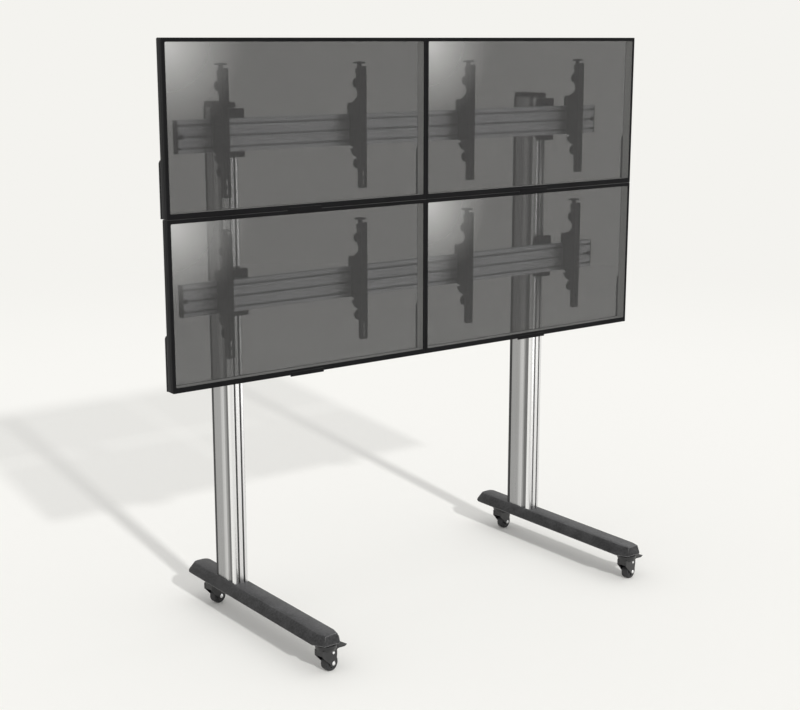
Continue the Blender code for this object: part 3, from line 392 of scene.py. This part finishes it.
finishes = {
    "columnAluminium": anodisedAluminium("anodisedColumnAluminium", columnMetal),
    "railAluminium": anodisedAluminium("anodisedRailAluminium", railMetal),
    "footCoat": grainedSkin("texturedPowderCoat", footCoat),
    "armCoat": grainedSkin("satinPowderCoat", armCoat),
    "shellPlastic": grainedSkin("mouldedAbsShell", shellPlastic),
    "innerPlastic": grainedSkin("paleAbsLining", innerPlastic),
    "capPlastic": grainedSkin("mouldedAbsCap", capPlastic),
    "castorNylon": grainedSkin("mouldedNylon", castorNylon),
    "treadRubber": grainedSkin("castPolyurethane", treadRubber),
    "zinc": platedSteel("zincPlatedSteel", zincPlate),
    "frontPane": smokedSheet("coatedSmokedGlass", frontPane),
    "rearPane": smokedSheet("smokedAcrylic", rearPane),
}
print("materials made:", len(finishes))


# angles in degrees, above which an edge of a CAD node stays sharp, is rounded, or stays sharp on a new piece
meshLook = {"nodeSmooth": 32, "edgeOver": 40, "pieceSmooth": 35, "edgeSegments": 2, "weld": 0.01 * mm}


def smoothGroup(name, degrees):
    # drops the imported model's own normals, then shades it smooth up to an angle
    group = bpy.data.node_groups.new(name, "GeometryNodeTree")
    for way in ("INPUT", "OUTPUT"):
        group.interface.new_socket("Geometry", in_out=way, socket_type="NodeSocketGeometry")
    start = add(group, "NodeGroupInput")
    bare = add(group, "GeometryNodeRemoveAttribute", {
        "Geometry": (start, "Geometry"), "Name": "custom_normal",
    })
    edge = add(group, "GeometryNodeInputMeshEdgeAngle")
    sharp = add(group, "FunctionNodeCompare", {
        "A": (edge, "Unsigned Angle"), "B": math.radians(degrees),
    }, operation="GREATER_THAN")
    faces = add(group, "GeometryNodeSetShadeSmooth", {"Geometry": (bare, "Geometry"), "Shade Smooth": True})
    edges = add(group, "GeometryNodeSetShadeSmooth", {
        "Geometry": (faces, "Geometry"), "Selection": (sharp, "Result"), "Shade Smooth": False,
    }, domain="EDGE")
    add(group, "NodeGroupOutput", {"Geometry": (edges, "Geometry")})
    return group


smoothing = smoothGroup("smoothByAngle", meshLook["nodeSmooth"])


def refine(thing, edge=0.0):
    # weld, an optional small rounded edge, and smooth shading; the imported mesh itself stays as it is
    weld = thing.modifiers.new("weld", "WELD")
    weld.merge_threshold = meshLook["weld"]
    if edge:
        bevel = thing.modifiers.new("edge", "BEVEL")
        bevel.width = edge
        bevel.segments = meshLook["edgeSegments"]
        bevel.limit_method = "ANGLE"
        bevel.angle_limit = math.radians(meshLook["edgeOver"])
    shade = thing.modifiers.new("smooth", "NODES")
    shade.node_group = smoothing
    if edge:
        weighted = thing.modifiers.new("flat faces", "WEIGHTED_NORMAL")
        weighted.keep_sharp = True


# what each CAD node is finished in, and the width of its rounded edges
nodeFinish = {
    "_foot": ("footCoat", 0.0),
    "_column": ("columnAluminium", 0.0),
    "_rear_cover": ("capPlastic", 0.0),
    "_column_cap": ("capPlastic", 0.0),
    "_castor_fork": ("castorNylon", 0.0),
    "_castor_pedal": ("castorNylon", 0.0),
    "_castor_wheel": ("treadRubber", 0.0),
    "_rail": ("railAluminium", 0.0),
    "_rail_end_cap": ("capPlastic", 0.0),
    "_rail_bracket": ("armCoat", 0.0),
    "_arm_channel": ("armCoat", 0.4 * mm),
    "_hook_plate": ("armCoat", 0.0),
    "_height_knob": ("capPlastic", 0.0),
    "_display_housing": ("shellPlastic", 0.0),
    "_front_glass": ("frontPane", 0.0),
}
for name, thing in nodes.items():
    for ending, (finish, edge) in nodeFinish.items():
        if name.endswith(ending):
            thing.data.materials.clear()
            thing.data.materials.append(finishes[finish])
            if finish != "frontPane":
                refine(thing, edge)
print("CAD nodes finished")


def newPiece(name, work, finish, body):
    # turns a bmesh into a piece of the object that rides on a body
    bmesh.ops.recalc_face_normals(work, faces=work.faces)
    mesh = bpy.data.meshes.new(name)
    work.to_mesh(mesh)
    work.free()
    for face in mesh.polygons:
        face.use_smooth = True
    mesh.set_sharp_from_angle(angle=math.radians(meshLook["pieceSmooth"]))
    mesh.materials.append(finishes[finish])
    piece = bpy.data.objects.new(name, mesh)
    bpy.context.scene.collection.objects.link(piece)
    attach(piece, body)
    return piece


def loops(work, rings, closed=True, capped=False):
    # joins rings of points, each with the same count, with quads
    made = [[work.verts.new(point) for point in ring] for ring in rings]
    pairs = list(zip(made, made[1:]))
    if closed:
        pairs.append((made[-1], made[0]))
    for first, second in pairs:
        for i in range(len(first)):
            j = (i + 1) % len(first)
            work.faces.new((first[i], first[j], second[j], second[i]))
    if capped:
        work.faces.new(made[0][::-1])
        work.faces.new(made[-1])
    return made


def roundedBox(low, high, radius, steps=3):
    # points of a rounded rectangle in X and Z
    points = []
    left, right = low[0] + radius, high[0] - radius
    bottom, top = low[1] + radius, high[1] - radius
    centres = ((right, top), (left, top), (left, bottom), (right, bottom))
    for corner, (centreX, centreZ) in enumerate(centres):
        for i in range(steps + 1):
            angle = math.radians(90 * corner + 90 * i / steps)
            points.append((centreX + radius * math.cos(angle), centreZ + radius * math.sin(angle)))
    return points


# bezel, wall and rear round are the insets at the left, the right, the bottom and the top
shell = {
    "depth": 44 * mm, "lip": 1.4 * mm, "cornerRadius": 2 * mm, "windowRadius": 4 * mm,
    "bezel": (11.6 * mm, 11.6 * mm, 20 * mm, 14 * mm),
    "wall": (8.6 * mm, 8.6 * mm, 17 * mm, 11 * mm),
    "rearRound": (4 * mm, 4 * mm, 3 * mm, 10 * mm),
    "frontRound": 1.6 * mm, "frontChamfer": 0.5 * mm, "windowChamfer": 0.6 * mm,
    "grooves": (8.5 * mm, 14.8 * mm),
    "grooveWidth": 3.2 * mm, "grooveDepth": 1.1 * mm, "grooveFlank": 0.4 * mm,
    "bulge": 10 * mm, "bulgeHeight": 205 * mm, "bulgeRamp": 12 * mm, "bulgeEdge": 0.8 * mm,
    "rearPaneThick": 3 * mm, "rearPaneCorner": 2 * mm, "rearPaneChamfer": 0.4 * mm, "fit": 0.3 * mm,
}


def insetRing(low, high, front, depth, insets, extra, radius):
    # a rounded outline of a display at some depth, inset from its four sides
    points = roundedBox(
        (low.x + insets[0] + extra, low.z + insets[2] + extra),
        (high.x - insets[1] - extra, high.z - insets[3] - extra),
        radius,
    )
    return [(x, front + depth, z) for x, z in points]


def displayShell(name, low, high, front, body):
    # rings from the lip round the window, over the front and the grooved sides, to the back and inside again
    bare = (0.0, 0.0, 0.0, 0.0)
    corner, window = shell["cornerRadius"], shell["windowRadius"]
    frontRound, chamfer = shell["frontRound"], shell["frontChamfer"]
    flank, groove = shell["grooveFlank"], shell["grooveDepth"]
    profile = [
        (shell["lip"], shell["bezel"], 0.0, window),
        (chamfer, shell["bezel"], 0.0, window),
        (0.0, shell["bezel"], -shell["windowChamfer"], window),
        (0.0, bare, frontRound, corner),
        (chamfer, bare, chamfer, corner),
        (frontRound, bare, 0.0, corner),
    ]
    for start in shell["grooves"]:
        end = start + shell["grooveWidth"]
        profile += [(start, bare, 0.0, corner), (start + flank, bare, groove, corner)]
        profile += [(end - flank, bare, groove, corner), (end, bare, 0.0, corner)]
    roundSteps = 5
    for step in range(roundSteps + 1):
        turn = math.radians(90 * step / roundSteps)
        insets = [radius * (1 - math.cos(turn)) for radius in shell["rearRound"]]
        ahead = max(shell["rearRound"]) * (1 - math.sin(turn))
        profile.append((shell["depth"] - ahead, insets, 0.0, corner))
    profile.append((shell["depth"], shell["wall"], 0.0, corner))
    profile.append((shell["lip"], shell["wall"], 0.0, corner))
    work = bmesh.new()
    rings = [insetRing(low, high, front, *level) for level in profile]
    loops(work, rings)
    piece = newPiece(name, work, "shellPlastic", body)
    # the last two bands of faces line the space behind the pane
    piece.data.materials.append(finishes["innerPlastic"])
    for face in piece.data.polygons[-2 * len(rings[0]):]:
        face.material_index = 1
    return piece


def rearSkirt(name, low, high, front, body):
    # the deeper rim round the lower third of the back
    start = front + shell["depth"]
    end = start + shell["bulge"]
    edge, ramp = shell["bulgeEdge"], shell["bulgeRamp"]
    left, right, bottom, _ = shell["wall"]

    def ring(depth, rise, shrink):
        # a U, down the outside and back up the inside: rise lowers its ends, shrink makes it thinner
        top = low.z + shell["bulgeHeight"] - rise
        outerLeft, outerRight = low.x + shrink, high.x - shrink
        innerLeft, innerRight = low.x + left - shrink, high.x - right + shrink
        outerLow, innerLow = low.z + shrink, low.z + bottom - shrink
        outline = [
            (outerLeft, top), (outerLeft, outerLow), (outerRight, outerLow), (outerRight, top),
            (innerRight, top), (innerRight, innerLow), (innerLeft, innerLow), (innerLeft, top),
        ]
        return [(x, depth, z) for x, z in outline]

    work = bmesh.new()
    rings = [ring(start, 0.0, 0.0), ring(end - edge, ramp * 0.9, 0.0), ring(end, ramp + edge, edge)]
    made = loops(work, rings, closed=False)
    for line in (made[0], made[-1]):
        for quad in ((0, 1, 6, 7), (1, 2, 5, 6), (2, 3, 4, 5)):
            work.faces.new([line[i] for i in quad])
    return newPiece(name, work, "shellPlastic", body)


def rearPanel(name, low, high, front, body):
    # the smoked sheet that closes the back, its rear edge chamfered
    fit, chamfer = shell["fit"], shell["rearPaneChamfer"]
    back = front + shell["depth"] - fit
    steps = ((back - shell["rearPaneThick"], fit), (back - chamfer, fit), (back, fit + chamfer))
    corner = shell["rearPaneCorner"]
    rings = [insetRing(low, high, 0.0, depth, shell["wall"], extra, corner) for depth, extra in steps]
    work = bmesh.new()
    loops(work, rings, closed=False, capped=True)
    return newPiece(name, work, "rearPane", body)


sensor = {
    "halfWidth": 75 * mm, "proud": 3.5 * mm, "hang": 5 * mm, "top": 11 * mm,
    "slope": 3 * mm, "corner": 1.5 * mm, "seam": 0.3 * mm,
}


def sensorLip(name, centre, bottom, front, body):
    # the low bar for the remote sensor, under the middle of a display
    face = front - sensor["proud"]
    half, slope, seam = sensor["halfWidth"], sensor["slope"], sensor["seam"]

    def ring(depth, shrink):
        points = roundedBox(
            (centre - half + shrink, bottom - sensor["hang"] + shrink),
            (centre + half - shrink, bottom + sensor["top"] - shrink), sensor["corner"],
        )
        return [(x, depth, z) for x, z in points]

    work = bmesh.new()
    rings = [ring(front - seam, 0.0), ring(face + slope * 0.4, 0.0)]
    rings += [ring(face + seam, slope * 0.25), ring(face, slope * 0.5)]
    loops(work, rings, closed=False, capped=True)
    return newPiece(name, work, "shellPlastic", body)


def dressDisplay(label):
    housing = label + "_display_housing"
    body = bodyOf[housing]
    low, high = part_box(housing)
    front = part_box(label + "_front_glass")[0].y - shell["lip"] - shell["fit"]
    bottom = low.z + sensor["hang"]
    boxLow = Vector((low.x, front, bottom))
    rim = displayShell(label + "_display_shell", boxLow, high, front, body)
    skirt = rearSkirt(label + "_display_rear_skirt", boxLow, high, front, body)
    panel = rearPanel(label + "_display_rear_panel", boxLow, high, front, body)
    lip = sensorLip(label + "_sensor_lip", (low.x + high.x) / 2, bottom, front, body)
    for piece in (rim, skirt, panel, lip):
        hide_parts(housing)
    # the smoked panes don't darken what stands behind them, and no part of a display shows in the rails
    glass = bpy.data.objects[label + "_front_glass"]
    for pane in (panel, glass):
        pane.visible_diffuse = False
    for piece in (rim, skirt, panel, lip, glass):
        piece.visible_glossy = False


for label in displayLabels:
    dressDisplay(label)
print("displays built")


def turnedRings(profile, centre, axis, segments, lobes=0, lobeDepth=0.0):
    # rings of a turned form: (radius, place along the axis, share of the lobes that it takes)
    rings = []
    for radius, along, share in profile:
        ring = []
        for i in range(segments):
            angle = 2 * math.pi * i / segments
            reach = radius - share * lobeDepth * (0.5 + 0.5 * math.cos(lobes * angle))
            first, second = reach * math.cos(angle), reach * math.sin(angle)
            offset = [first, second]
            offset.insert("xyz".index(axis), along)
            ring.append([a + b for a, b in zip(centre, offset)])
        rings.append(ring)
    return rings


# every castor stands turned by this angle about its swivel, away from pointing straight ahead
castorTurn = math.radians(102)
wheel = {
    "radius": 30 * mm, "half": 16 * mm, "tyreInner": 21 * mm, "crown": 4 * mm, "crownSteps": 5,
    "hubInner": 7 * mm, "bore": 4.1 * mm, "hubRecess": 0.8 * mm, "dish": 5 * mm, "dishSlope": 1.5 * mm,
    "rim": 2.5 * mm, "tyreGap": 0.05 * mm, "segments": 48, "trail": 16 * mm,
}


def arcProfile(centreRadius, centreAlong, radius, start, end, steps):
    # points of a round shoulder, as (radius, place along the axis, share of lobes)
    points = []
    for i in range(steps + 1):
        angle = math.radians(start + (end - start) * i / steps)
        points.append((centreRadius + radius * math.sin(angle), centreAlong + radius * math.cos(angle), 0.0))
    return points


def castorPiece(name, profile, centre, segments, finish, body, closed=True):
    # a form turned about the castor's own axle line
    work = bmesh.new()
    rings = turnedRings(profile, (0.0, 0.0, 0.0), "x", segments)
    loops(work, rings, closed=closed, capped=not closed)
    place = Matrix.Translation(centre) @ Matrix.Rotation(castorTurn, 4, "Z")
    bmesh.ops.transform(work, matrix=place, verts=work.verts)
    return newPiece(name, work, finish, body)


def castorWheel(label, node):
    low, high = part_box(node)
    centre = (low + high) / 2
    body = bodyOf[node]
    half, crown, steps = wheel["half"], wheel["crown"], wheel["crownSteps"]
    tyre = [(wheel["tyreInner"], half, 0.0)]
    tyre += arcProfile(wheel["radius"] - crown, half - crown, crown, 0, 90, steps)
    tyre += arcProfile(wheel["radius"] - crown, crown - half, crown, 90, 180, steps)
    tyre.append((wheel["tyreInner"], -half, 0.0))
    segments = wheel["segments"]
    tread = castorPiece(label + "_tyre", tyre, centre, segments, "treadRubber", body)
    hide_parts(node)
    face, deep = half - wheel["hubRecess"], half - wheel["dish"]
    inner, slope = wheel["hubInner"], wheel["dishSlope"]
    outer = wheel["tyreInner"] - wheel["tyreGap"]
    rim = outer - wheel["rim"]
    side = [
        (wheel["bore"], face), (inner, face), (inner + slope, deep),
        (rim - slope, deep), (rim, face), (outer, face),
    ]
    hub = [(radius, along, 0.0) for radius, along in side]
    hub += [(radius, -along, 0.0) for radius, along in side[::-1]]
    core = castorPiece(label + "_hub", hub, centre, segments, "castorNylon", body)
    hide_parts(node)


# plated pins through the fork: how far their ends stand out, and where the pedal's pin sits over the floor
cheek = {"face": 22.55 * mm, "pole": 0.2 * mm, "segments": 24}
axlePin = {"radius": 7.6 * mm, "height": 3.3 * mm}
pedalPin = {"radius": 5.4 * mm, "height": 1.8 * mm, "ahead": 17 * mm, "overFloor": 71.5 * mm}


def brightEnds(label, name, centre, look):
    # the domed ends of a plated pin, one on each cheek of the fork
    face, pole = cheek["face"], cheek["pole"]
    radius, height = look["radius"], look["height"]
    dome = (
        (pole, height), (radius * 0.58, height * 0.92), (radius * 0.88, height * 0.55),
        (radius, 0.0), (pole, 0.0),
    )
    fork, segments = bodyOf[label + "_fork"], cheek["segments"]
    for side, way in (("left", -1), ("right", 1)):
        cap = [(reach, way * (face + rise), 0.0) for reach, rise in dome]
        named = label + name + side
        castorPiece(named, cap, centre, segments, "zinc", fork, closed=False)


def dressCastor(label, braked):
    castorWheel(label, label + "_wheel")
    low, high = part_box(label + "_wheel")
    axle = (low + high) / 2
    brightEnds(label, "_axle_end_", axle, axlePin)
    if braked:
        toward = Vector((math.sin(castorTurn), -math.cos(castorTurn), 0.0))
        pivot = axle + toward * (pedalPin["ahead"] - wheel["trail"])
        pivot.z = pedalPin["overFloor"]
        brightEnds(label, "_pedal_pin_", pivot, pedalPin)


for side in sides:
    for end in ("front", "rear"):
        dressCastor(side + "_" + end + "_castor", braked=end == "front")
print("castor wheels built")


knob = {
    "radius": 24 * mm, "lobes": 8, "lobeDepth": 2.4 * mm, "segments": 64,
    "neck": 9 * mm, "stem": 5 * mm, "stemLength": 22.3 * mm, "pole": 0.5 * mm,
}


def heightKnob(name, node):
    # a fluted head with a raised middle, on a neck, with the spindle below
    low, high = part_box(node)
    centre = ((low.x + high.x) / 2, (low.y + high.y) / 2, high.z)
    radius, neck, stem, pole = knob["radius"], knob["neck"], knob["stem"], knob["pole"]
    foot = low.z - high.z
    collar = low.z + knob["stemLength"] - high.z
    profile = [
        (pole, 0.0, 0.0), (6.5 * mm, -0.1 * mm, 0.0), (7.5 * mm, -0.9 * mm, 0.0),
        (radius * 0.6, -1.1 * mm, 0.2), (radius * 0.86, -1.8 * mm, 0.8), (radius * 0.95, -3.0 * mm, 1.0),
        (radius, -4.6 * mm, 1.0), (radius - 0.2 * mm, -7.2 * mm, 1.0), (radius - 1.4 * mm, -8.0 * mm, 1.0),
        (neck + 1 * mm, -8.0 * mm, 0.0), (neck, -9.0 * mm, 0.0), (neck, collar, 0.0),
        (stem, collar, 0.0), (stem, foot, 0.0), (pole, foot, 0.0),
    ]
    work = bmesh.new()
    rings = turnedRings(profile, centre, "z", knob["segments"], knob["lobes"], knob["lobeDepth"])
    loops(work, rings, closed=False, capped=True)
    piece = newPiece(name, work, "capPlastic", bodyOf[node])
    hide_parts(node)


for label in armLabels:
    heightKnob(label + "_hand_knob", label + "_height_knob")
print("knobs built")


screw = {
    "headRadius": 6 * mm, "headHeight": 3.6 * mm, "socket": 2.5 * mm, "drop": 28 * mm,
    "seat": 2.5 * mm, "sunk": 0.1 * mm, "segments": 18,
}


def channelScrew(name, node):
    # the top screw that holds a channel to its display, seen between the channel's flanges
    low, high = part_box(node)
    centre = ((low.x + high.x) / 2, low.y + screw["seat"], high.z - screw["drop"])
    height, radius, socket = screw["headHeight"], screw["headRadius"], screw["socket"]
    profile = [
        (radius, screw["sunk"], 0.0), (radius, height * 0.4, 0.0), (radius * 0.85, height * 0.8, 0.0),
        (radius * 0.6, height, 0.0), (socket, height, 0.0), (socket * 0.95, height * 0.4, 0.0),
    ]
    work = bmesh.new()
    loops(work, turnedRings(profile, centre, "y", screw["segments"]), closed=False, capped=True)
    newPiece(name, work, "zinc", bodyOf[node])


for label in armLabels:
    channelScrew(label + "_arm_channel_screw", label + "_arm_channel")
print("channel screws built")


# Floor, backdrop and light
# Far away the floor melts into the backdrop, and the sky lights everything in even white.
stageLook = {
    "floorSize": 60.0, "floorColour": "#f9f8f4", "fadeStart": 4.0, "fadeEnd": 9.0,
    "backdropColour": "#f4f3ef", "skyColour": "#ffffff", "skyStrength": 0.73,
}


def floorMaterial(look):
    # painted floor, flat and dull
    material, tree = newMaterial("paintedFloor")
    place = add(tree, "ShaderNodeTexCoord")
    reach = add(tree, "ShaderNodeVectorMath", {0: (place, "Object")}, operation="LENGTH")
    far = add(tree, "ShaderNodeMapRange", {
        "Value": (reach, "Value"), "From Min": look["fadeStart"], "From Max": look["fadeEnd"],
    }, interpolation_type="SMOOTHSTEP")
    near = add(tree, "ShaderNodeBsdfDiffuse", {"Color": linear(look["floorColour"])})
    plain = add(tree, "ShaderNodeEmission", {"Color": linear(look["backdropColour"]), "Strength": 1.0})
    both = add(tree, "ShaderNodeMixShader", {
        "Fac": (far, "Result"), 1: (near, "BSDF"), 2: (plain, "Emission"),
    })
    add(tree, "ShaderNodeOutputMaterial", {"Surface": (both, "Shader")})
    return material


def layFloor(look):
    work = bmesh.new()
    bmesh.ops.create_grid(work, x_segments=1, y_segments=1, size=look["floorSize"] / 2)
    mesh = bpy.data.meshes.new("floor")
    work.to_mesh(mesh)
    work.free()
    mesh.materials.append(floorMaterial(look))
    floor = bpy.data.objects.new("floor", mesh)
    bpy.context.scene.collection.objects.link(floor)


def raiseSky(look):
    # the camera, mirrored rays and rays through the panes see the backdrop, and all others the sky
    world = bpy.data.worlds.new("studio")
    bpy.context.scene.world = world
    world.use_nodes = True
    tree = world.node_tree
    tree.nodes.clear()
    rays = add(tree, "ShaderNodeLightPath")
    direct = add(tree, "ShaderNodeMath", {
        0: (rays, "Is Camera Ray"), 1: (rays, "Is Glossy Ray"),
    }, operation="MAXIMUM")
    seen = add(tree, "ShaderNodeMath", {
        0: (direct, "Value"), 1: (rays, "Is Transmission Ray"),
    }, operation="MAXIMUM")
    sky = add(tree, "ShaderNodeBackground", {
        "Color": linear(look["skyColour"]), "Strength": look["skyStrength"],
    })
    backdrop = add(tree, "ShaderNodeBackground", {"Color": linear(look["backdropColour"]), "Strength": 1.0})
    mixed = add(tree, "ShaderNodeMixShader", {
        "Fac": (seen, "Value"), 1: (sky, "Background"), 2: (backdrop, "Background"),
    })
    add(tree, "ShaderNodeOutputWorld", {"Surface": (mixed, "Shader")})


layFloor(stageLook)
raiseSky(stageLook)

lamps = {
    "sun": {"travel": (0.22, 1.70, -1.0), "strength": 1.65, "angle": 2.6},
    "footSun": {"travel": (-0.62, -0.12, -0.77), "strength": 3.4, "angle": 20.0},
    "softbox": {
        "place": (2.3, -3.4, 1.3), "aim": (0.0, 0.2, 0.9), "width": 1.3, "height": 2.5, "power": 36.0,
    },
}


def pointed(name, data, direction):
    # lamps and cameras look along their own -Z
    thing = bpy.data.objects.new(name, data)
    thing.rotation_mode = "QUATERNION"
    thing.rotation_quaternion = direction.to_track_quat("-Z", "Y")
    bpy.context.scene.collection.objects.link(thing)
    return thing


def sunLamp(name, look):
    data = bpy.data.lights.new(name, "SUN")
    data.energy = look["strength"]
    data.angle = math.radians(look["angle"])
    return pointed(name, data, Vector(look["travel"]))


def areaLamp(name, look):
    data = bpy.data.lights.new(name, "AREA")
    data.shape = "RECTANGLE"
    data.size = look["width"]
    data.size_y = look["height"]
    data.energy = look["power"]
    lamp = pointed(name, data, Vector(look["aim"]) - Vector(look["place"]))
    lamp.location = look["place"]
    lamp.visible_camera = False
    return lamp


def lightGroup(name, chosen, state="INCLUDE"):
    # a set of things for a lamp to light or throw shadows from, or to leave out
    group = bpy.data.collections.new(name)
    for thing in chosen:
        group.objects.link(thing)
    for entry in group.collection_objects:
        entry.light_linking.link_state = state
    return group


everything = list(bpy.context.scene.collection.all_objects)
behindEndings = ("_rail", "_channel", "_hook_plate", "_end_cap", "_bracket", "_hand_knob", "_screw")
behindPanes = [thing for thing in everything if thing.name.endswith(behindEndings)]
displayFrames = [thing for thing in everything if "_display_" in thing.name]
footwork = [thing for thing in everything if "_foot" in thing.name or "_castor" in thing.name]
bareMetal = [thing for name, thing in nodes.items() if name.endswith(("_column", "_rail"))]

# The metalwork behind the panes is lit by the sky alone. It throws no shadow, and neither do the frames and
# rear panels of the displays, so that the front glass alone throws the wall's shadow, as one even grey.
sun = sunLamp("keySun", lamps["sun"])
unlit = lightGroup("behind the panes", behindPanes, "EXCLUDE")
shadowless = lightGroup("no shadow on the floor", behindPanes + displayFrames, "EXCLUDE")
sun.light_linking.receiver_collection = unlit
sun.light_linking.blocker_collection = shadowless

# a second lamp from the right lights the tops of the feet and leaves their flanks in shade
footSun = sunLamp("footSun", lamps["footSun"])
feetAndCastors = lightGroup("feet and castors", footwork)
footSun.light_linking.receiver_collection = feetAndCastors
footSun.light_linking.blocker_collection = feetAndCastors

# the softbox is flagged off everything but the bare metal
softbox = areaLamp("softbox", lamps["softbox"])
softbox.light_linking.receiver_collection = lightGroup("softbox receivers", bareMetal)

view = {
    "place": (-3.4742, -4.5081, 2.2472), "forward": (0.5857, 0.7816, -0.2147),
    "lens": 64.75, "sensor": 36.0, "nearest": 0.05, "farthest": 200.0,
}
cameraData = bpy.data.cameras.new("camera")
cameraData.lens = view["lens"]
cameraData.sensor_width = view["sensor"]
cameraData.clip_start = view["nearest"]
cameraData.clip_end = view["farthest"]
camera = pointed("camera", cameraData, Vector(view["forward"]))
camera.location = view["place"]
bpy.context.scene.camera = camera
bpy.context.scene.view_settings.view_transform = "Standard"
print("stage, light and camera set")
